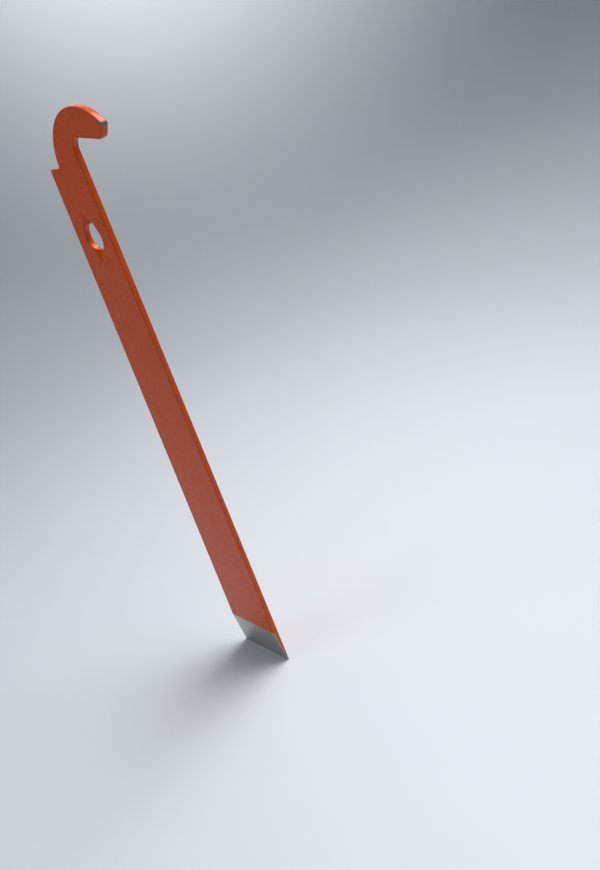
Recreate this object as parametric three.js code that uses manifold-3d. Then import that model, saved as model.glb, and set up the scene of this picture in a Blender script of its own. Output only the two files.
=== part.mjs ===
// A J-hook hive tool: one flat steel bar with a prying hook at one end and a ground scraper blade at
// the other. Millimetres, +Z up.
//
// The bar stands on its cutting edge with the hook at the top. X runs across its width, with the
// hook's nose towards +X, and Y through its thickness, with the ground bevel on the -Y face.
// The origin is the middle of the narrow flat land at the cutting edge.

import * as THREE from 'three';
import { ConvexGeometry } from 'three/addons/geometries/ConvexGeometry.js';
import { mergeVertices } from 'three/addons/utils/BufferGeometryUtils.js';
import Module from 'manifold-3d';

// The bar
const toolLength = 267; // from the cutting edge to the top of the hook
const barThickness = 2.5;
const edgeWidth = 31; // across the cutting edge
const shoulderWidth = 21; // across the bar just under the shoulder

// The blade
const bevelLength = 20; // how far the bevel runs up the -Y face
const edgeLand = 0.5; // thickness left flat at the cutting edge

// The shoulder, which is the lever's fulcrum, on the side away from the hook's nose
const shoulderDrop = 19.6; // from the top of the hook down to the shoulder
const shoulderStep = 6.8; // how far the neck is set back from the bar's edge
const shoulderTipRadius = 0.8; // the fulcrum's own corner
const shoulderFillet = 1.5; // between the shoulder and the neck

// The hook, whose outer edge is one arc from the shoulder to the nose
const hookRadius = 21;
const hookRoot = 9.4; // from the top of the hook down to its underside, at the bar's edge
const throatFillet = 4.6;
const noseAngle = THREE.MathUtils.degToRad(41.5); // where the arc ends, up from level
const noseFlat = 5.8; // length of the flat that ends the nose, measured to its sharp corners
const noseTilt = THREE.MathUtils.degToRad(37); // how far that flat leans back under the nose
const noseTopRadius = 1.4;
const noseHeelRadius = 2.6;

// The nail hole on the bar's centre line. It is drilled round, in a recess that is sunk in the -Y face
// and runs out to a point above and below, where the nail's shank wedges.
const holeDrop = 26.3; // from the shoulder down to the middle of the hole
const holeRadius = 5.2;
const recessLip = 0.1; // how far the recess stands outside the hole, level with its middle
const recessSlope = THREE.MathUtils.degToRad(36); // how steeply its sides go down from the face
const upperPoint = 13.9; // from the middle of the hole to where the recess's sides would meet
const upperTipRadius = 1.6;
const lowerPoint = 11.3;
const lowerTipRadius = 0.5;

const arcDivisions = 16; // an arc is drawn with twice as many chords

const paint = new THREE.MeshStandardMaterial({ color: 0xb8501c, roughness: 0.32, metalness: 0 });

// Places that follow from those sizes
const shoulderHeight = toolLength - shoulderDrop;
const holeHeight = shoulderHeight - holeDrop;
const neckRise = hookRadius - shoulderDrop; // how far the shoulder is above the arc's centre
const neckFoot = shoulderStep - shoulderWidth / 2; // where the arc would meet the shoulder
const arcCentre = new THREE.Vector2(
  neckFoot + Math.sqrt(hookRadius ** 2 - neckRise ** 2),
  toolLength - hookRadius
);
const backFace = edgeLand / 2;
const frontFace = backFace - barThickness;

const xAxis = new THREE.Vector3(1, 0, 0);
const yAxis = new THREE.Vector3(0, 1, 0);
const zAxis = new THREE.Vector3(0, 0, 1);

// Half the bar's width at a height: both edges taper in a straight line from the cutting edge.
function halfWidthAt(height) {
  return THREE.MathUtils.lerp(edgeWidth, shoulderWidth, height / shoulderHeight) / 2;
}

// A vector of a given length that points at an angle up from level.
function polar(length, angle) {
  return new THREE.Vector2(Math.cos(angle), Math.sin(angle)).multiplyScalar(length);
}

// Draws on from the path's last point round a rounded corner, ready for the next point.
function turnCorner(path, corner, next, radius) {
  const back = path.currentPoint.clone().sub(corner).normalize();
  const ahead = next.clone().sub(corner).normalize();
  const halfAngle = back.angleTo(ahead) / 2;
  const touch = radius / Math.tan(halfAngle);
  const middle = back.clone().add(ahead).normalize();
  const centre = corner.clone().addScaledVector(middle, radius / Math.sin(halfAngle));
  const start = corner.clone().addScaledVector(back, touch).sub(centre);
  const end = corner.clone().addScaledVector(ahead, touch).sub(centre);
  path.absarc(centre.x, centre.y, radius, start.angle(), end.angle(), start.cross(end) < 0);
}

// The hook's outer edge: a fillet off the level shoulder, the long arc, and the nose's rounded top.
// Each runs smoothly into the next. `noseTop` is the nose's corner before it is rounded.
function drawNeckAndHook(path, noseTop) {
  const filletReach = hookRadius + shoulderFillet;
  const filletLean = Math.asin((neckRise + shoulderFillet) / filletReach);
  const fillet = polar(filletReach, Math.PI - filletLean).add(arcCentre);

  const inward = polar(1, Math.PI - noseTilt);
  const centreDepth = arcCentre.clone().sub(noseTop).dot(inward);
  const topReach = hookRadius - noseTopRadius;
  const topAngle = inward.angle() - Math.acos((noseTopRadius - centreDepth) / topReach);
  const top = polar(topReach, topAngle).add(arcCentre);

  path.absarc(fillet.x, fillet.y, shoulderFillet, -Math.PI / 2, -filletLean, false);
  path.absarc(arcCentre.x, arcCentre.y, hookRadius, Math.PI - filletLean, topAngle, true);
  path.absarc(top.x, top.y, noseTopRadius, topAngle, -noseTilt, true);
}

// The bar's outline: along the cutting edge, up the left, over the hook and down the right.
function barOutline() {
  const noseTop = polar(hookRadius, noseAngle).add(arcCentre);
  const noseHeel = polar(noseFlat, -Math.PI / 2 - noseTilt).add(noseTop);
  const throatHeight = toolLength - hookRoot;
  const throat = new THREE.Vector2(halfWidthAt(throatHeight), throatHeight);
  const edgeCorner = new THREE.Vector2(edgeWidth / 2, 0);
  const shoulderTip = new THREE.Vector2(-shoulderWidth / 2, shoulderHeight);
  const shoulderRoot = new THREE.Vector2(neckFoot, shoulderHeight);

  const shape = new THREE.Shape();
  shape.moveTo(edgeCorner.x, edgeCorner.y);
  shape.lineTo(-edgeCorner.x, edgeCorner.y);
  turnCorner(shape, shoulderTip, shoulderRoot, shoulderTipRadius);
  drawNeckAndHook(shape, noseTop);
  turnCorner(shape, noseHeel, throat, noseHeelRadius);
  turnCorner(shape, throat, edgeCorner, throatFillet);
  shape.closePath();
  return shape;
}

function drilledHole() {
  const path = new THREE.Path();
  path.absarc(0, holeHeight, holeRadius, 0, 2 * Math.PI, false);
  return path;
}

// The recess's rim round the middle of the hole. Its straight sides touch its round middle and the
// rounded tip of each point.
function recessRim(radius) {
  const upperLean = Math.asin(radius / upperPoint);
  const lowerLean = Math.asin(radius / lowerPoint);
  const upperTip = upperPoint - upperTipRadius / Math.sin(upperLean);
  const lowerTip = lowerTipRadius / Math.sin(lowerLean) - lowerPoint;

  const path = new THREE.Path();
  path.absarc(0, upperTip, upperTipRadius, upperLean, Math.PI - upperLean, false);
  path.absarc(0, 0, radius, Math.PI - upperLean, Math.PI + lowerLean, false);
  path.absarc(0, lowerTip, lowerTipRadius, Math.PI + lowerLean, -lowerLean, false);
  path.absarc(0, 0, radius, -lowerLean, upperLean, false);
  return path.getPoints(arcDivisions);
}

// Extrudes a shape and turns it, so that its own x, y and depth run along the three given axes.
function extrude(shape, depth, ...axes) {
  const options = { depth, bevelEnabled: false, curveSegments: arcDivisions };
  const geometry = new THREE.ExtrudeGeometry(shape, options);
  return geometry.applyMatrix4(new THREE.Matrix4().makeBasis(...axes));
}

function barBlank() {
  const outline = barOutline();
  outline.holes.push(drilledHole());
  const blank = extrude(outline, barThickness, xAxis, zAxis, yAxis.clone().negate());
  return blank.translate(0, backFace, 0);
}

// The wedge that the grinder takes off the -Y face, drawn past both ends of the slope.
function bevelWedge() {
  const foot = new THREE.Vector2(backFace - edgeLand, 0);
  const top = new THREE.Vector2(frontFace, bevelLength);
  const overrun = top.clone().sub(foot).multiplyScalar(0.1);
  foot.sub(overrun);
  top.add(overrun);
  const wedge = new THREE.Shape([foot, top, new THREE.Vector2(top.x, foot.y)]);
  const grindWidth = edgeWidth + 2;
  return extrude(wedge, grindWidth, yAxis, zAxis, xAxis).translate(-grindWidth / 2, 0, 0);
}

// What the recess takes away: all its sides slope from the rim to one point under the hole's middle,
// and it is drawn past the face.
function recessWedge() {
  const radius = holeRadius + recessLip;
  const depth = radius * Math.tan(recessSlope);
  const overrun = 0.1;
  const corners = recessRim(radius).map(({ x, y }) => {
    return new THREE.Vector3(x, -depth, y).multiplyScalar(1 + overrun);
  });
  const wedge = new ConvexGeometry([new THREE.Vector3(), ...corners]);
  return wedge.translate(0, frontFace + depth, holeHeight);
}

const wasm = await Module();
wasm.setup();

// A closed geometry as a solid that can be cut.
function toSolid(geometry) {
  geometry.deleteAttribute('normal');
  geometry.deleteAttribute('uv');
  const merged = mergeVertices(geometry);
  const vertProperties = new Float32Array(merged.attributes.position.array);
  const triVerts = new Uint32Array(merged.index.array);
  return new wasm.Manifold(new wasm.Mesh({ numProp: 3, vertProperties, triVerts }));
}

// A cut solid as a geometry with a flat normal on every face.
function toGeometry(solid) {
  const mesh = solid.getMesh();
  const shared = new THREE.BufferGeometry();
  shared.setAttribute('position', new THREE.BufferAttribute(mesh.vertProperties, 3));
  shared.setIndex(new THREE.BufferAttribute(mesh.triVerts, 1));
  const geometry = shared.toNonIndexed();
  geometry.computeVertexNormals();
  return geometry;
}

function hiveTool() {
  const ground = toSolid(barBlank()).subtract(toSolid(bevelWedge()));
  const recessed = ground.subtract(toSolid(recessWedge()));
  const mesh = new THREE.Mesh(toGeometry(recessed), paint);
  mesh.name = 'hive_tool';
  return mesh;
}

const tool = new THREE.Group();
tool.add(hiveTool());

export default tool;
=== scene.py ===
"""A painted steel hive tool: a flat bar with a prying hook and a ground scraper blade.

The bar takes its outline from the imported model's flat back, and the recess round its nail hole from the
front. A geometry node tree gives the outline its thickness, sinks the recess, grinds the blade's bevel and
rounds every rim, and one material paints it and bares the steel.
Metres, +Z up: the tool stands on its cutting edge, with the ground bevel on the -Y face.
"""

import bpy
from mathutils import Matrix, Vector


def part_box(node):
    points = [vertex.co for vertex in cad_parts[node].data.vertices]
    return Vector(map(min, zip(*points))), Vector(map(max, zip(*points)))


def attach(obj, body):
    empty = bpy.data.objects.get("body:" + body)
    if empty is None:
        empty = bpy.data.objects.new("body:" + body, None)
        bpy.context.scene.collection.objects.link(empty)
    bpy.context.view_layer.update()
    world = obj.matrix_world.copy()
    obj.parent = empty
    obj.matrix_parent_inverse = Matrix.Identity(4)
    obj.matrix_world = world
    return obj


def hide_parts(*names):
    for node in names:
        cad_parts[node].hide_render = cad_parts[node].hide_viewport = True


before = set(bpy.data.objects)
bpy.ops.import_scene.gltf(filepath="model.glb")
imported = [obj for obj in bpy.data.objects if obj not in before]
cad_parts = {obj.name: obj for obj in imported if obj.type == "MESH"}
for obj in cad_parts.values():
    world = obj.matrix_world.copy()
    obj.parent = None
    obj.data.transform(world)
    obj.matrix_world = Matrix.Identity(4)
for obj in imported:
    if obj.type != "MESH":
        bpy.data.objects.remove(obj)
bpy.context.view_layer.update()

import math

import bmesh
import bpy
from mathutils import Matrix, Vector
from mathutils.geometry import delaunay_2d_cdt

bl_info = {
    "name": "Hive Tool",
    "version": (1, 0, 0),
    "blender": (4, 5, 0),
    "location": "View3D > Sidebar > Hive Tool",
    "description": "Makes a painted steel hive tool on its packed frame, and the stage it stands on",
    "category": "Object",
}

MM = 0.001
NODE = "hive_tool"
LOW, HIGH = (Vector(corner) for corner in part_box(NODE))


# Node trees


class Wire:
    """One value in a node tree. Python's arithmetic on it adds Math nodes."""

    def __init__(self, bench, socket):
        self.bench = bench
        self.socket = socket

    def __add__(self, other):
        return self.bench.math("ADD", self, other)

    def __radd__(self, other):
        return self.bench.math("ADD", other, self)

    def __sub__(self, other):
        return self.bench.math("SUBTRACT", self, other)

    def __rsub__(self, other):
        return self.bench.math("SUBTRACT", other, self)

    def __mul__(self, other):
        return self.bench.math("MULTIPLY", self, other)

    def __truediv__(self, other):
        return self.bench.math("DIVIDE", self, other)


class Bench:
    """Puts nodes into one tree and wires them up."""

    def __init__(self, tree):
        self.tree = tree

    def add(self, kind, settings=None, values=None, give=0):
        """Adds one node, sets it up, fills its sockets, and gives the wire or wires asked for."""
        node = self.tree.nodes.new(kind)
        for name, setting in (settings or {}).items():
            setattr(node, name, setting)
        for key, value in (values or {}).items():
            socket = self.socket(node.inputs, key)
            for one in value if isinstance(value, list) else [value]:
                if isinstance(one, Wire):
                    self.tree.links.new(one.socket, socket)
                else:
                    socket.default_value = one
        if isinstance(give, tuple):
            return [Wire(self, self.socket(node.outputs, key)) for key in give]
        return Wire(self, self.socket(node.outputs, give)) if len(node.outputs) else None

    def socket(self, sockets, key):
        """A socket by its place, its identifier or its name."""
        if isinstance(key, int):
            return sockets[key]
        named = [s for s in sockets if s.identifier == key]
        named += [s for s in sockets if s.name == key and s.enabled]
        if not named:
            raise KeyError(f"no socket {key!r} among {[s.identifier for s in sockets]}")
        return named[0]

    def math(self, operation, *values):
        """One Math node."""
        return self.add("ShaderNodeMath", {"operation": operation}, dict(enumerate(values)))

    def highest(self, first, *others):
        """The largest of these values."""
        for other in others:
            first = self.math("MAXIMUM", first, other)
        return first

    def step(self, value, start, end):
        """Rises smoothly from 0 at start to 1 at end."""
        return self.add(
            "ShaderNodeMapRange",
            {"interpolation_type": "SMOOTHSTEP"},
            {"Value": value, "From Min": start, "From Max": end},
        )

    def colour(self, mask, first, second):
        """The first colour where the mask is 0, and the second where it is 1."""
        return self.add(
            "ShaderNodeMix",
            {"data_type": "RGBA"},
            {"Factor_Float": mask, "A_Color": first, "B_Color": second},
            give="Result_Color",
        )

    def stretch(self, vector, factors):
        """A vector with each of its parts scaled by its own factor."""
        return self.add("ShaderNodeVectorMath", {"operation": "MULTIPLY"}, {0: vector, 1: factors})

    def turn(self, vector, degrees):
        """A vector turned about Y."""
        return self.add(
            "ShaderNodeVectorRotate",
            {"rotation_type": "Y_AXIS"},
            {"Vector": vector, "Angle": math.radians(degrees)},
        )

    def noise(self, vector, size, detail=2.0, roughness=0.5):
        """Soft noise from 0 to 1 whose blobs are about this size, in metres."""
        return self.add(
            "ShaderNodeTexNoise",
            {"noise_dimensions": "3D"},
            {
                "Vector": vector,
                "Scale": 1 / size,
                "Detail": detail,
                "Roughness": roughness,
            },
            give="Fac",
        )


# Sizes and colours


class HiveToolShape(bpy.types.PropertyGroup):
    """How the bar is thickened, ground and rounded."""

    edge_land: bpy.props.FloatProperty(
        name="Edge land",
        description="Thickness left flat at the cutting edge",
        default=0.5 * MM,
        min=0.2 * MM,
        unit="LENGTH",
        precision=5,
    )
    grind_length: bpy.props.FloatProperty(
        name="Grind length",
        description="How far the bevel runs up the front face",
        default=20 * MM,
        min=5 * MM,
        unit="LENGTH",
        precision=4,
    )
    recess_slope: bpy.props.FloatProperty(
        name="Recess slope",
        description="How steeply the sides of the nail hole's recess go down from the front face",
        default=math.radians(36),
        min=0.0,
        max=math.radians(60),
        subtype="ANGLE",
        unit="ROTATION",
    )
    rim_radius: bpy.props.FloatProperty(
        name="Rim radius",
        description="Rounding of the bar's long edges, the hook and the nail hole",
        default=0.22 * MM,
        min=0.05 * MM,
        max=0.55 * MM,
        unit="LENGTH",
        precision=5,
    )
    ridge_softness: bpy.props.FloatProperty(
        name="Ridge softness",
        description="How much the ridge at the top of the bevel is eased",
        default=0.03 * MM,
        min=0.0,
        unit="LENGTH",
        precision=5,
    )
    pitch: bpy.props.FloatProperty(
        name="Pitch",
        description="Spacing of the mesh on the bar's faces",
        default=2 * MM,
        min=1 * MM,
        unit="LENGTH",
        precision=4,
    )


class HiveToolFinish(bpy.types.PropertyGroup):
    """The paint and the bare steel."""

    paint: bpy.props.FloatVectorProperty(
        name="Paint",
        description="Colour of the enamel",
        subtype="COLOR",
        size=3,
        min=0.0,
        max=1.0,
        default=(0.56, 0.068, 0.002),
    )
    gloss: bpy.props.FloatProperty(
        name="Paint roughness",
        description="Roughness of the enamel, lower for a shinier coat",
        default=0.27,
        min=0.0,
        max=1.0,
        subtype="FACTOR",
    )
    steel: bpy.props.FloatVectorProperty(
        name="Steel",
        description="Colour of the bare steel",
        subtype="COLOR",
        size=3,
        min=0.0,
        max=1.0,
        default=(0.55, 0.54, 0.52),
    )
    wear: bpy.props.FloatProperty(
        name="Wear",
        description="How far the paint is chipped along the edges",
        default=0.35,
        min=0.0,
        max=1.0,
        subtype="FACTOR",
    )


class HiveToolStage(bpy.types.PropertyGroup):
    """The floor, the light and the camera."""

    floor: bpy.props.FloatVectorProperty(
        name="Floor",
        description="Colour of the floor and of the wall it curves into",
        subtype="COLOR",
        size=3,
        min=0.0,
        max=1.0,
        default=(0.60, 0.625, 0.66),
    )
    light: bpy.props.FloatProperty(
        name="Overhead light",
        description="Power of the soft box over the tool, in watts",
        default=3.1,
        min=0.0,
    )
    fill: bpy.props.FloatProperty(
        name="Fill light",
        description="Power of the soft light from the front, in watts",
        default=2.1,
        min=0.0,
    )
    wall: bpy.props.FloatProperty(
        name="Wall light",
        description="Power of the light that washes the wall behind the tool, in watts",
        default=1.3,
        min=0.0,
    )
    azimuth: bpy.props.FloatProperty(
        name="Azimuth",
        description="Where the camera stands round the tool, from the front towards +X",
        default=math.radians(50.85),
        subtype="ANGLE",
        unit="ROTATION",
    )
    elevation: bpy.props.FloatProperty(
        name="Elevation",
        description="How far the camera looks down",
        default=math.radians(29.35),
        subtype="ANGLE",
        unit="ROTATION",
    )
    roll: bpy.props.FloatProperty(
        name="Roll",
        description="How far the tool leans to the left in the view",
        default=math.radians(17.81),
        subtype="ANGLE",
        unit="ROTATION",
    )
    eye: bpy.props.FloatVectorProperty(
        name="Eye",
        description="Place of the camera from the middle of the tool",
        subtype="TRANSLATION",
        unit="LENGTH",
        size=3,
        default=(0.261878, -0.155844, 0.153246),
    )
    lens: bpy.props.FloatProperty(
        name="Lens",
        description="Focal length of the camera, in millimetres",
        default=33.269,
        min=5.0,
    )


# The bar

# The mesh
RIDGE_ROWS = [step * MM for step in (-0.6, -0.2, 0.0, 0.2, 0.6)]  # from the bevel's ridge, upwards
ROW_CLEARANCE = 0.8 * MM  # between those rows and the others
GRID_CLEARANCE = 0.45  # between the grid and every other point, as a share of the pitch
ROUNDING_ANGLES = (90, 67.5, 45, 22.5, 0)  # a quarter round in four steps of equal angle
RIM_HOLD = 0.12 * MM  # from the end of the quarter round to one more ring, which holds it
HOLE_PITCH = 0.35 * MM
FLATTEST = 1e-5  # least area of a triangle, as a share of its longest side squared

# The recess, as shares of the way out to its rim
CREASE_SHARES = (1.015, 1.0, 0.985)  # its crease, and a soft line on each side of it
SLOPE_SHARES = (0.93, 0.86, 0.79, 0.72, 0.65, 0.58, 0.51)
RECESS_PITCH = 0.5 * MM
RECESS_CLEARANCE = 0.2 * MM  # between its points and the rings round the hole

# The solid
ROUNDING_SHARE = 0.42  # most of the bar's thickness that one rim may round
WELD_DISTANCE = 0.001 * MM
CRISP_ANGLE = math.radians(38)  # an edge that turns further than this is not smoothed over


def face_outlines(node, side):
    """The closed loops round the flat back (side 1) or front (side -1), widest first, as (x, z) points."""
    solid = bmesh.new()
    solid.from_mesh(node.data)
    bmesh.ops.remove_doubles(solid, verts=solid.verts, dist=1e-7)
    plane = HIGH.y if side > 0 else LOW.y
    flat = {
        f
        for f in solid.faces
        if f.normal.y * side > 0.99 and all(abs(v.co.y - plane) < 1e-6 for v in f.verts)
    }
    follows = {}
    for face in solid.faces:
        for loop in face.loops:
            if face in flat and sum(f in flat for f in loop.edge.link_faces) == 1:
                follows[loop.vert.index] = loop.link_loop_next.vert.index
    places = {v.index: (v.co.x, v.co.z) for v in solid.verts}
    solid.free()
    loops = []
    while follows:
        here = next(iter(follows))
        points = []
        while here in follows:
            points.append(places[here])
            here = follows.pop(here)
        loops.append(points)
    if len(loops) != 2:
        raise RuntimeError(f"the bar's face has {len(loops)} outlines, not 2")
    return sorted(loops, key=lambda points: -abs(area(points)))


def area(points):
    """Signed area of a closed loop."""
    return sum(
        a[0] * b[1] - b[0] * a[1] for a, b in zip(points, points[1:] + points[:1])
    ) / 2


def refined(points, pitch, heights):
    """The same closed loop, with no side longer than the pitch and a corner at each height it crosses."""
    finer = []
    for a, b in zip(points, points[1:] + points[:1]):
        cuts = {0.0}
        for height in heights:
            if (a[1] - height) * (b[1] - height) < 0:
                cuts.add((height - a[1]) / (b[1] - a[1]))
        cuts = sorted(cuts) + [1.0]
        for start, end in zip(cuts, cuts[1:]):
            length = math.dist(a, b) * (end - start)
            pieces = max(1, math.ceil(length / pitch - 1e-6))
            for i in range(pieces):
                t = start + (end - start) * i / pieces
                finer.append((a[0] + (b[0] - a[0]) * t, a[1] + (b[1] - a[1]) * t))
    return finer


def inset_loop(points, distance):
    """A closed loop moved into the steel by a distance, with mitred corners."""
    moved = []
    for before, here, after in zip(points[-1:] + points[:-1], points, points[1:] + points[:1]):
        sides = []
        for a, b in ((before, here), (here, after)):
            length = math.dist(a, b)
            sides.append(((b[1] - a[1]) / length, (a[0] - b[0]) / length))
        (ax, az), (bx, bz) = sides
        reach = distance / (1 + ax * bx + az * bz)
        moved.append((here[0] + (ax + bx) * reach, here[1] + (az + bz) * reach))
    return moved


def inside(point, loop):
    """Whether a point is inside a closed loop."""
    x, z = point
    crossings = 0
    for a, b in zip(loop, loop[1:] + loop[:1]):
        if (a[1] > z) != (b[1] > z):
            crossings += x < a[0] + (b[0] - a[0]) * (z - a[1]) / (b[1] - a[1])
    return crossings % 2 == 1


def gap(point, corners):
    """How far a point is from the nearest of these corners."""
    return min(math.dist(point, corner) for corner in corners)


class Recess:
    """The sunk seat round the nail hole. Its sides slope down from its rim towards the hole's middle."""

    def __init__(self, rim, hole, slope):
        self.middle = [sum(values) / len(hole) for values in zip(*hole)]
        self.corners = sorted(self.polar(point) for point in rim)
        half_width = max(abs(x - self.middle[0]) for x, z in rim)
        self.deepest = half_width * math.tan(slope)

    def polar(self, point):
        """A point's direction and distance from the hole's middle."""
        across, up = point[0] - self.middle[0], point[1] - self.middle[1]
        return math.atan2(up, across), math.hypot(across, up)

    def point(self, angle, share):
        """The point in a direction, at a share of the way out to the rim."""
        reach = self.reach(angle) * share
        return (self.middle[0] + reach * math.cos(angle), self.middle[1] + reach * math.sin(angle))

    def reach(self, angle):
        """How far the rim is from the middle in a direction."""
        corners = self.corners
        after = next((k for k, corner in enumerate(corners) if corner[0] > angle), 0)
        (a, ra), (b, rb) = corners[after - 1], corners[after]
        return ra * rb * math.sin((b - a) % math.tau) / (
            ra * math.sin((angle - a) % math.tau) + rb * math.sin((b - angle) % math.tau)
        )

    def depth(self, point):
        """How far the recess is sunk at a point, and 0 outside it."""
        angle, distance = self.polar(point)
        return max(0.0, self.deepest * (1 - distance / self.reach(angle)))

    def contour(self, share, pitch):
        """A closed loop at a share of the way out to the rim, with its points about a pitch apart."""
        points = [self.point(angle, share) for angle, reach in self.corners]
        finer = refined(points, pitch, [])
        kept = [finer[0]]
        for point in finer[1:]:
            if math.dist(point, kept[-1]) > pitch * 0.4:
                kept.append(point)
        return kept


class Sheet:
    """A flat mesh in the making, with the distance of each point from the outline."""

    def __init__(self):
        self.places = []
        self.distances = []
        self.faces = []

    def add_points(self, points, distance):
        """Adds points at one distance from the outline, and gives their numbers."""
        first = len(self.places)
        self.places += points
        self.distances += [distance] * len(points)
        return range(first, len(self.places))

    def add_rings(self, points, insets):
        """Adds rings of faces along the inside of a closed loop, and gives the last ring's numbers."""
        rings = [self.add_points(inset_loop(points, inset), inset) for inset in insets]
        for outer, nearer in zip(rings, rings[1:]):
            for i in range(len(points)):
                j = (i + 1) % len(points)
                self.faces.append((outer[j], outer[i], nearer[i], nearer[j]))
        return rings[-1]

    def fill(self, rings, loose, creases):
        """Adds the faces inside the first ring and outside the second, through the loose points."""
        known = [i for ring in rings for i in ring]
        sides = [(len(known) + a, len(known) + b) for a, b in creases]
        start = 0
        for ring in rings:
            sides += [(start + i, start + (i + 1) % len(ring)) for i in range(len(ring))]
            start += len(ring)
        known += loose
        spots = [Vector(self.places[i]) / MM for i in known]
        made = delaunay_2d_cdt(spots, sides, [], 1, 1e-5, True)
        triangles, sources = made[2], made[3]
        outer, hole = ([self.places[i] for i in ring] for ring in rings)
        for triangle in triangles:
            face = [known[sources[i][0]] for i in triangle]
            ends = [self.places[i] for i in face]
            middle = [sum(values) / len(face) for values in zip(*ends)]
            longest = max(math.dist(a, b) for a, b in zip(ends, ends[1:] + ends[:1]))
            # Triangles without area lie along the straight sides
            if abs(area(ends)) > FLATTEST * longest**2:
                if inside(middle, outer) and not inside(middle, hole):
                    self.faces.append(face)


def recess_slopes(recess, hole):
    """The points down the recess's slopes to the hole, and pairs of them that hold its crease."""
    points, creases = [], []
    for share in CREASE_SHARES + SLOPE_SHARES:
        numbers = []
        for point in recess.contour(share, RECESS_PITCH):
            if gap(point, hole) > RECESS_CLEARANCE and not inside(point, hole):
                numbers.append(len(points))
                points.append(point)
            else:
                numbers.append(None)
        if share in CREASE_SHARES:
            pairs = zip(numbers, numbers[1:] + numbers[:1])
            creases += [pair for pair in pairs if None not in pair]
    return points, creases


def face_grid(pitch, heights, rims, recess, slopes):
    """The points of a square grid over the bar's face, clear of its rims and of the recess."""
    columns = math.floor((HIGH.x - LOW.x) / pitch)
    rows = [LOW.z + pitch * k for k in range(1, int((HIGH.z - LOW.z) / pitch) + 1)]
    rows = [z for z in rows if min(abs(z - height) for height in heights) > ROW_CLEARANCE]
    points = []
    for z in sorted(rows + heights):
        for k in range(columns + 1):
            point = (LOW.x + (HIGH.x - LOW.x) * k / columns, z)
            if inside(point, rims[0]) and recess.depth(point) == 0.0:
                if min(gap(point, rim) for rim in (*rims, slopes)) > pitch * GRID_CLEARANCE:
                    points.append(point)
    return points


def flat_bar(shape):
    """The bar's outline as a flat mesh in the XZ plane, facing -Y, with close rings along its rims."""
    pitch, radius = shape.pitch, shape.rim_radius
    heights = [shape.grind_length + row for row in RIDGE_ROWS]
    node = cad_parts[NODE]
    outline, hole = face_outlines(node, 1)
    recess = Recess(face_outlines(node, -1)[1], hole, shape.recess_slope)

    sheet = Sheet()
    insets = [radius * (1 - math.sin(math.radians(a))) for a in ROUNDING_ANGLES]
    insets.append(radius + RIM_HOLD)
    loops = [refined(outline, pitch, heights), refined(hole, HOLE_PITCH, [])]
    rings = [sheet.add_rings(points, insets) for points in loops]
    rims = [[sheet.places[i] for i in ring] for ring in rings]
    slopes, creases = recess_slopes(recess, rims[1])
    grid = face_grid(pitch, heights, rims, recess, slopes)
    sheet.fill(rings, sheet.add_points(slopes + grid, radius * 2), creases)

    mesh = bpy.data.meshes.new("bar outline")
    mesh.from_pydata([(x, 0, z) for x, z in sheet.places], [], sheet.faces)
    sunk = [recess.depth(place) for place in sheet.places]
    for name, values in (("inset", sheet.distances), ("recess", sunk)):
        mesh.attributes.new(name, "FLOAT", "POINT").data.foreach_set("value", values)
    mesh.validate()
    return mesh


def with_edge_distance(bench, outline):
    """Stores every point's distance from the outline, for the wear of the paint."""
    neighbours = bench.add("GeometryNodeInputMeshEdgeNeighbors")
    lone = bench.add(
        "FunctionNodeCompare",
        {"data_type": "INT", "operation": "EQUAL"},
        {"A_INT": neighbours, "B_INT": 1},
    )
    border = bench.add(
        "GeometryNodeSeparateGeometry", {"domain": "EDGE"}, {"Geometry": outline, "Selection": lone}
    )
    distance = bench.add(
        "GeometryNodeProximity", {"target_element": "EDGES"}, {0: border}, give="Distance"
    )
    return bench.add(
        "GeometryNodeStoreNamedAttribute",
        {"data_type": "FLOAT", "domain": "POINT"},
        {"Geometry": outline, "Name": "edge_distance", "Value": distance},
    )


def shaded(bench, mesh):
    """Shades a mesh smooth, and leaves its crisp edges crisp."""
    smooth = bench.add("GeometryNodeSetShadeSmooth", {"domain": "FACE"}, {0: mesh})
    angle = bench.add("GeometryNodeInputMeshEdgeAngle", give="Unsigned Angle")
    return bench.add(
        "GeometryNodeSetShadeSmooth",
        {"domain": "EDGE"},
        {
            0: smooth,
            "Selection": bench.math("GREATER_THAN", angle, CRISP_ANGLE),
            "Shade Smooth": False,
        },
    )


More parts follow.
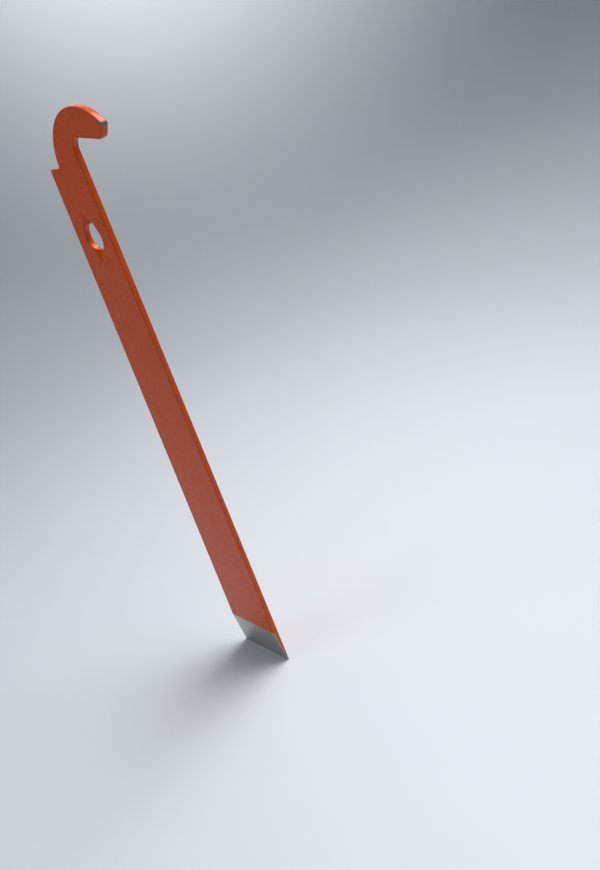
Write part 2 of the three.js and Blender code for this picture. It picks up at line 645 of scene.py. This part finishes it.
def bar_rule():
    """The node tree that thickens the flat outline, grinds its bevel and rounds its rims."""
    tree = bpy.data.node_groups.new("Ground bar", "GeometryNodeTree")
    sockets = [("Outline", "NodeSocketGeometry")]
    sockets += [
        (name, "NodeSocketFloat")
        for name in (
            "Thickness",
            "Back face",
            "Edge land",
            "Grind length",
            "Rim radius",
            "Ridge softness",
        )
    ]
    sockets.append(("Finish", "NodeSocketMaterial"))
    for name, kind in sockets:
        tree.interface.new_socket(name=name, in_out="INPUT", socket_type=kind)
    tree.interface.new_socket(name="Bar", in_out="OUTPUT", socket_type="NodeSocketGeometry")

    bench = Bench(tree)
    outline, thickness, back, land, grind, rim, softness, finish = bench.add(
        "NodeGroupInput", give=tuple(name for name, kind in sockets)
    )
    place = bench.add("GeometryNodeInputPosition")
    x, z = bench.add("ShaderNodeSeparateXYZ", None, {0: place}, give=("X", "Z"))
    inset, recess = (
        bench.add(
            "GeometryNodeInputNamedAttribute",
            {"data_type": "FLOAT"},
            {"Name": name},
            give="Attribute",
        )
        for name in ("inset", "recess")
    )

    # How thick the bar is at each height, and how far its rounded rim falls below its face
    ground = land + (thickness - land) * z / grind
    depth = bench.math("SMOOTH_MIN", ground, thickness, softness) - recess
    corner = bench.math("MINIMUM", rim, depth * ROUNDING_SHARE)
    reach = bench.math("MAXIMUM", corner - inset, 0.0)
    fall = corner - bench.math("SQRT", corner * corner - reach * reach)

    def seat(geometry, height, selection=True):
        """Moves the points to this place across the bar's thickness."""
        spot = bench.add("ShaderNodeCombineXYZ", None, {"X": x, "Y": height, "Z": z})
        return bench.add(
            "GeometryNodeSetPosition",
            None,
            {"Geometry": geometry, "Selection": selection, "Position": spot},
        )

    back_sheet = seat(with_edge_distance(bench, outline), back - fall)
    forward = bench.add("ShaderNodeCombineXYZ", None, {"Y": -1.0})
    raised, top = bench.add(
        "GeometryNodeExtrudeMesh",
        {"mode": "FACES"},
        {
            "Mesh": back_sheet,
            "Offset": forward,
            "Offset Scale": MM,
            "Individual": False,
        },
        give=("Mesh", "Top"),
    )
    front_and_walls = seat(raised, back - depth + fall, top)
    turned = bench.add("GeometryNodeFlipFaces", None, {"Mesh": back_sheet})
    shell = bench.add("GeometryNodeJoinGeometry", None, {0: [front_and_walls, turned]})
    bar = bench.add(
        "GeometryNodeMergeByDistance", None, {"Geometry": shell, "Distance": WELD_DISTANCE}
    )
    for name in ("inset", "recess"):
        bar = bench.add("GeometryNodeRemoveAttribute", None, {"Geometry": bar, "Name": name})
    real = bench.add("GeometryNodeRealizeInstances", None, {0: shaded(bench, bar)})
    painted = bench.add("GeometryNodeSetMaterial", None, {"Geometry": real, "Material": finish})
    bench.add("NodeGroupOutput", None, {"Bar": painted})
    return tree


def baked(flat, tree, values, name):
    """Runs the tree on a flat mesh with these inputs, and gives the result as a plain object."""
    source = bpy.data.objects.new("source", flat)
    bpy.context.scene.collection.objects.link(source)
    modifier = source.modifiers.new("rule", "NODES")
    modifier.node_group = tree
    names = {item.name: item.identifier for item in tree.interface.items_tree}
    for key, value in values.items():
        modifier[names[key]] = value
    graph = bpy.context.evaluated_depsgraph_get()
    graph.update()
    mesh = bpy.data.meshes.new_from_object(source.evaluated_get(graph), depsgraph=graph)
    source.modifiers.remove(modifier)
    bpy.data.objects.remove(source)
    mesh.name = name
    piece = bpy.data.objects.new(name, mesh)
    bpy.context.scene.collection.objects.link(piece)
    return piece


# The finish

# Sizes of the patterns
RAGGED_SIZE = 1.4 * MM
PATCH_SIZE = 19 * MM
CLOUD_SIZE = 24 * MM
PEEL_SIZE = 1.1 * MM
WAVE_SIZE = 9 * MM
GRIND_LINE_SIZE = 0.16 * MM
MILL_SIZE = 2.2 * MM
SCRATCHES = ((14, 0.9 * MM), (-31, 1.3 * MM))  # slant in degrees, and spacing

# Heights of the relief
PAINT_HEIGHT = 0.045 * MM  # how far the enamel stands above bare steel
PEEL_HEIGHT = 0.0035 * MM
WAVE_HEIGHT = 0.012 * MM
SCRATCH_DEPTH = 0.003 * MM
GRIND_LINE_HEIGHT = 0.006 * MM
MILL_HEIGHT = 0.004 * MM

NOSE_CORNER = (HIGH.x - 0.1 * MM, 0.0, HIGH.z - 7.25 * MM)  # where the hook's nose is knocked bare


def ground_steel(bench, place, ragged, shape):
    """Where the grinder has bared the bevel, with a ragged edge of paint."""
    y, z = bench.add("ShaderNodeSeparateXYZ", None, {0: place}, give=("Y", "Z"))
    fall = (HIGH.y - LOW.y - shape.edge_land) / shape.grind_length
    above_bevel = y - (HIGH.y - shape.edge_land) + z * fall
    below_ridge = (shape.grind_length - z) / MM + ragged * 2.2 - 0.9
    return bench.step(below_ridge, 0.0, 0.25) * (
        1 - bench.step(above_bevel / MM + ragged * 0.3, 0.3, 0.42)
    )


def worn_steel(bench, place, rim, ragged, patchy, wear):
    """Where use has bared the steel: along the cutting edge, in chips, and at the nose's corner."""
    z = bench.add("ShaderNodeSeparateXYZ", None, {0: place}, give="Z")
    lip = bench.step(ragged * 3.2 + patchy * 2.5 - z / MM, 1.2, 1.5)
    nicks = (ragged - 0.5) * 1.9 + (patchy - 0.88 + wear * 0.7) * 1.8
    chips = bench.step(nicks - rim * 1.6, 0.08, 0.16)
    from_nose = bench.add(
        "ShaderNodeVectorMath",
        {"operation": "DISTANCE"},
        {0: bench.stretch(place, (1.0, 0.0, 1.0)), 1: NOSE_CORNER},
        give="Value",
    )
    knocked = bench.step(from_nose / MM + (ragged - 0.5) * 1.2 + rim * 0.1, 0.95, 0.7)
    return bench.highest(lip, chips, knocked)


def fine_scratches(bench, place, patchy):
    """Thin lines in two directions, in patches."""
    lines = []
    for slant, spacing in SCRATCHES:
        across = bench.stretch(bench.turn(place, slant), (1.0, 1.0, 0.035))
        lines.append(bench.step(bench.noise(across, spacing, 1.0), 0.70, 0.74))
    return bench.highest(*lines) * bench.step(patchy, 0.45, 0.7)


def enamel_colour(bench, cloud, rim, paint):
    """Slightly clouded enamel, with painted shade darkening it along the rims."""
    full = bench.colour(cloud, (*(paint * 0.93), 1.0), (*(paint * 1.06), 1.0))
    # Painted shade: within about half a millimetre of each rim the enamel turns darker and redder,
    # standing in for the shade on the rounded edges
    rim_shade = 1 - bench.step(rim, 0.25, 0.6)
    shaded_paint = (paint.x * 0.72, paint.y * 0.62, paint.z * 0.6, 1.0)
    return bench.colour(rim_shade * 0.5, full, shaded_paint)


def enamelled_steel(finish, shape):
    """Glossy enamel over steel, bare on the ground bevel, on the cutting edge and where it is knocked."""
    material = bpy.data.materials.new("enamelled_steel")
    material.use_nodes = True
    material.node_tree.nodes.clear()
    bench = Bench(material.node_tree)
    place = bench.add("ShaderNodeTexCoord", give="Object")
    y = bench.add("ShaderNodeSeparateXYZ", None, {0: place}, give="Y")

    # Distance in millimetres from the nearest long edge, on the faces and down the walls
    on_face = bench.add("ShaderNodeAttribute", {"attribute_name": "edge_distance"}, give="Fac")
    on_wall = bench.highest(bench.math("MINIMUM", HIGH.y - y, y - LOW.y), 0.0)
    rim = (on_face + on_wall) / MM

    # Where the steel is bare, and how much of that is worn rather than ground
    ragged = bench.noise(place, RAGGED_SIZE, 4.0, 0.6)
    patchy = bench.noise(place, PATCH_SIZE, 2.0)
    ground = ground_steel(bench, place, ragged, shape)
    bare = bench.highest(ground, worn_steel(bench, place, rim, ragged, patchy, finish.wear))
    worn = 1 - ground

    cloud = bench.noise(place, CLOUD_SIZE, 3.0)
    peel = bench.noise(place, PEEL_SIZE, 1.0)
    wave = bench.noise(place, WAVE_SIZE, 1.0)
    scratches = fine_scratches(bench, place, patchy)
    # The enamel's colour, with painted shade along the rims
    coat = enamel_colour(bench, cloud, rim, Vector(finish.paint))
    coat_roughness = finish.gloss + cloud * 0.06 + peel * 0.04 + scratches * 0.12 - 0.05

    # Ground steel is bright, and worn steel is dull and dirty
    lines = bench.noise(bench.stretch(place, (1.0, 1.0, 0.02)), GRIND_LINE_SIZE, 2.0, 0.6)
    mill = bench.noise(place, MILL_SIZE, 3.0)
    steel = Vector(finish.steel)
    bright = bench.colour(lines, (*(steel * 0.72), 1.0), (*steel, 1.0))
    metal = bench.colour(worn, bright, (*(steel * 0.32), 1.0))
    metal_roughness = 0.30 + lines * 0.16 + mill * 0.08 + worn * 0.14

    height = (
        (1 - bare) * PAINT_HEIGHT
        + peel * PEEL_HEIGHT
        + wave * WAVE_HEIGHT
        - scratches * SCRATCH_DEPTH
        + bare * (lines * GRIND_LINE_HEIGHT + mill * MILL_HEIGHT)
    )
    bump = bench.add("ShaderNodeBump", None, {"Strength": 1.0, "Distance": 1.0, "Height": height})
    shader = bench.add(
        "ShaderNodeBsdfPrincipled",
        None,
        {
            "Base Color": bench.colour(bare, coat, metal),
            "Metallic": bare,
            "Roughness": coat_roughness * (1 - bare) + metal_roughness * bare,
            "IOR": 1.48,
            "Specular IOR Level": 0.25,
            "Normal": bump,
        },
    )
    bench.add("ShaderNodeOutputMaterial", None, {"Surface": shader})
    return material


class HIVETOOL_OT_make_bar(bpy.types.Operator):
    """Makes the painted steel bar, with its hook, shoulder, nail hole and ground blade"""

    bl_idname = "hivetool.make_bar"
    bl_label = "Make Bar"
    bl_options = {"REGISTER", "UNDO"}

    def execute(self, context):
        shape = context.scene.hive_tool_shape
        finish = context.scene.hive_tool_finish
        values = {
            "Thickness": HIGH.y - LOW.y,
            "Back face": HIGH.y,
            "Edge land": shape.edge_land,
            "Grind length": shape.grind_length,
            "Rim radius": shape.rim_radius,
            "Ridge softness": shape.ridge_softness,
            "Finish": enamelled_steel(finish, shape),
        }
        bar = baked(flat_bar(shape), bar_rule(), values, "hooked_bar")
        if not bar.data.polygons:
            raise RuntimeError("the bar came out empty")
        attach(bar, "root")
        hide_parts(NODE)
        return {"FINISHED"}


# The stage

FLOOR_RADIUS = 0.42  # of the flat part
BEND_RADIUS = 0.55  # between the floor and the wall
BEND_STEPS = 18
WALL_HEIGHT = 2.0
TURNS = 96  # sides of the floor's and wall's circle

SKY = (0.80, 0.88, 1.0, 1.0)
SKY_STRENGTH = 0.22


def sweep(name, profile, turns):
    """A dish turned from a (radius, height) profile about the middle of the tool, facing inwards."""
    middle = (LOW + HIGH) / 2
    mesh = bmesh.new()
    rings = []
    for radius, height in profile:
        if radius == 0:
            rings.append([mesh.verts.new((middle.x, middle.y, height))])
            continue
        ring = []
        for i in range(turns):
            a = math.tau * i / turns
            spot = (middle.x + radius * math.cos(a), middle.y + radius * math.sin(a), height)
            ring.append(mesh.verts.new(spot))
        rings.append(ring)
    for low, high in zip(rings, rings[1:]):
        for i in range(turns):
            j = (i + 1) % turns
            if len(low) == 1:
                mesh.faces.new((low[0], high[i], high[j]))
            else:
                mesh.faces.new((low[i], high[i], high[j], low[j]))
    for face in mesh.faces:
        face.smooth = True
    data = bpy.data.meshes.new(name)
    mesh.to_mesh(data)
    mesh.free()
    dish = bpy.data.objects.new(name, data)
    bpy.context.scene.collection.objects.link(dish)
    return dish


def pale_floor(stage):
    """A plain pale matt floor with a faint cloudiness."""
    material = bpy.data.materials.new("pale_floor")
    material.use_nodes = True
    material.node_tree.nodes.clear()
    bench = Bench(material.node_tree)
    place = bench.add("ShaderNodeTexCoord", give="Object")
    cloud = bench.noise(place, 180 * MM, 2.0)
    floor = Vector(stage.floor)
    shader = bench.add(
        "ShaderNodeBsdfPrincipled",
        None,
        {
            "Base Color": bench.colour(cloud, (*(floor * 0.97), 1.0), (*(floor * 1.02), 1.0)),
            "Roughness": 0.55,
        },
    )
    bench.add("ShaderNodeOutputMaterial", None, {"Surface": shader})
    return material


def floor_and_wall(stage):
    """A flat round floor that bends up into a wall."""
    profile = [(0.0, LOW.z), (FLOOR_RADIUS / 2, LOW.z), (FLOOR_RADIUS, LOW.z)]
    for k in range(1, BEND_STEPS + 1):
        a = math.radians(90 * k / BEND_STEPS)
        bend = (FLOOR_RADIUS + BEND_RADIUS * math.sin(a), LOW.z + BEND_RADIUS * (1 - math.cos(a)))
        profile.append(bend)
    profile.append((FLOOR_RADIUS + BEND_RADIUS, LOW.z + WALL_HEIGHT))
    dish = sweep("floor_and_wall", profile, TURNS)
    dish.data.materials.append(pale_floor(stage))
    return dish


def soft_box(name, place, size, power, target, spread=180):
    """A square soft light that faces a target. Its spread is in degrees."""
    lamp = bpy.data.lights.new(name, "AREA")
    lamp.shape = "SQUARE"
    lamp.size = size
    lamp.energy = power
    lamp.spread = math.radians(spread)
    light = bpy.data.objects.new(name, lamp)
    light.location = place
    towards = Vector(target) - Vector(place)
    light.rotation_euler = towards.to_track_quat("-Z", "Y").to_euler()
    light.visible_camera = False
    bpy.context.scene.collection.objects.link(light)


def studio_world():
    """A faint bluish light from all round."""
    world = bpy.data.worlds.new("studio")
    world.use_nodes = True
    background = world.node_tree.nodes["Background"]
    background.inputs["Color"].default_value = SKY
    background.inputs["Strength"].default_value = SKY_STRENGTH
    return world


def studio_camera(stage):
    """The camera, in its place and at its angle."""
    data = bpy.data.cameras.new("camera")
    data.lens = stage.lens
    data.sensor_width = 36.0
    data.clip_start = 0.01
    camera = bpy.data.objects.new("camera", data)
    a, e = stage.azimuth, stage.elevation
    aim = Vector((-math.sin(a) * math.cos(e), math.cos(a) * math.cos(e), -math.sin(e)))
    level = aim.to_track_quat("-Z", "Y").to_matrix()
    leaning = level @ Matrix.Rotation(-stage.roll, 3, "Z")
    place = (LOW + HIGH) / 2 + Vector(stage.eye)
    camera.matrix_world = Matrix.LocRotScale(place, leaning, None)
    return camera


class HIVETOOL_OT_set_stage(bpy.types.Operator):
    """Makes the pale floor and its curved wall, the soft lights and the camera"""

    bl_idname = "hivetool.set_stage"
    bl_label = "Set Stage"
    bl_options = {"REGISTER", "UNDO"}

    def execute(self, context):
        stage = context.scene.hive_tool_stage
        dish = floor_and_wall(stage)

        soft_box("overhead_light", (0.14, 0.30, 0.85), 0.5, stage.light, (0.06, 0.02, 0.0), 100)
        soft_box("wall_light", (-0.42, 0.40, 0.72), 0.3, stage.wall, (-0.74, 0.68, 0.48), 110)
        soft_box("front_light", (-0.40, -0.75, 0.45), 0.5, stage.fill, (0.0, 0.0, 0.40))
        context.scene.world = studio_world()
        context.scene.view_settings.view_transform = "Standard"

        camera = studio_camera(stage)
        context.scene.collection.objects.link(camera)
        context.scene.camera = camera
        return {"FINISHED"}


class HIVETOOL_PT_panel(bpy.types.Panel):
    """Makes the hive tool and its stage"""

    bl_idname = "HIVETOOL_PT_panel"
    bl_label = "Hive Tool"
    bl_space_type = "VIEW_3D"
    bl_region_type = "UI"
    bl_category = "Hive Tool"

    def draw(self, context):
        scene = context.scene
        for title, group, operator in (
            ("Shape", scene.hive_tool_shape, None),
            ("Finish", scene.hive_tool_finish, HIVETOOL_OT_make_bar.bl_idname),
            ("Stage", scene.hive_tool_stage, HIVETOOL_OT_set_stage.bl_idname),
        ):
            box = self.layout.box()
            box.label(text=title)
            for name in group.__annotations__:
                box.prop(group, name)
            if operator:
                box.operator(operator)


CLASSES = (
    HiveToolShape,
    HiveToolFinish,
    HiveToolStage,
    HIVETOOL_OT_make_bar,
    HIVETOOL_OT_set_stage,
    HIVETOOL_PT_panel,
)


def register():
    for cls in CLASSES:
        bpy.utils.register_class(cls)
    bpy.types.Scene.hive_tool_shape = bpy.props.PointerProperty(type=HiveToolShape)
    bpy.types.Scene.hive_tool_finish = bpy.props.PointerProperty(type=HiveToolFinish)
    bpy.types.Scene.hive_tool_stage = bpy.props.PointerProperty(type=HiveToolStage)


def unregister():
    del bpy.types.Scene.hive_tool_stage
    del bpy.types.Scene.hive_tool_finish
    del bpy.types.Scene.hive_tool_shape
    for cls in reversed(CLASSES):
        bpy.utils.unregister_class(cls)


def main():
    register()
    bpy.ops.hivetool.make_bar()
    bpy.ops.hivetool.set_stage()


if __name__ == "__main__":
    main()
